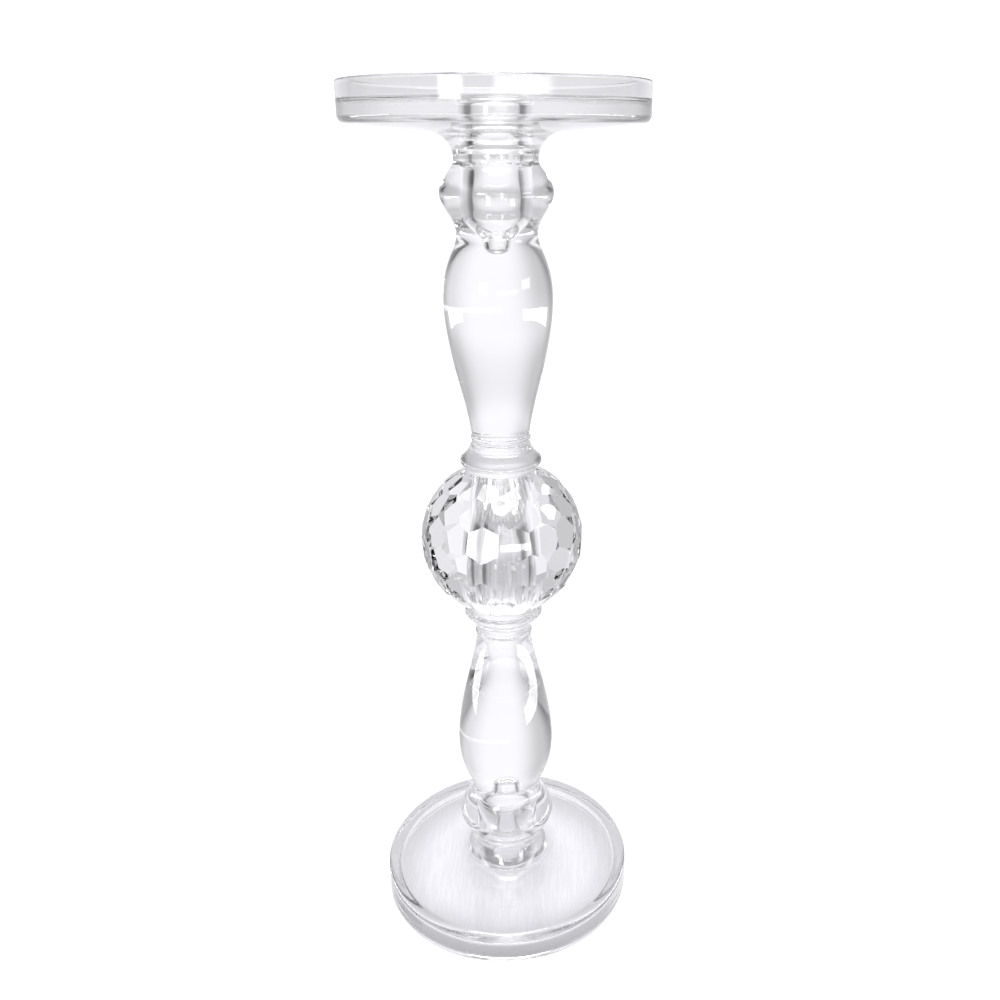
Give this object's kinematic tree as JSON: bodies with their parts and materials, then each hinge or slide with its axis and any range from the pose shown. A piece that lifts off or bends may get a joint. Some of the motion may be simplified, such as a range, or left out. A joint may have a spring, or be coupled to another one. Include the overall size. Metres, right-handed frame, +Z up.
{
  "type": "glass candlestick",
  "caption": "Tall clear glass candlestick with a shallow candle dish, a turned stem broken by a faceted ball, and a matching round foot.",
  "frame": {"origin": "centre of the foot's ring of contact with the table", "axes": "+Z up along the stem's axis, towards the candle dish"},
  "size_m": [0.1, 0.1, 0.313],
  "materials": {
    "pressed_glass": "fire polished, clear",
    "cut_crystal": "cut and polished, clear",
    "clear_adhesive": "clear, cured under light"
  },
  "bodies": {
    "root": {"candle_dish": "pressed_glass", "upper_bond": "clear_adhesive", "faceted_ball": "cut_crystal", "lower_bond": "clear_adhesive", "foot_stem": "pressed_glass"}
  },
  "joints": []
}
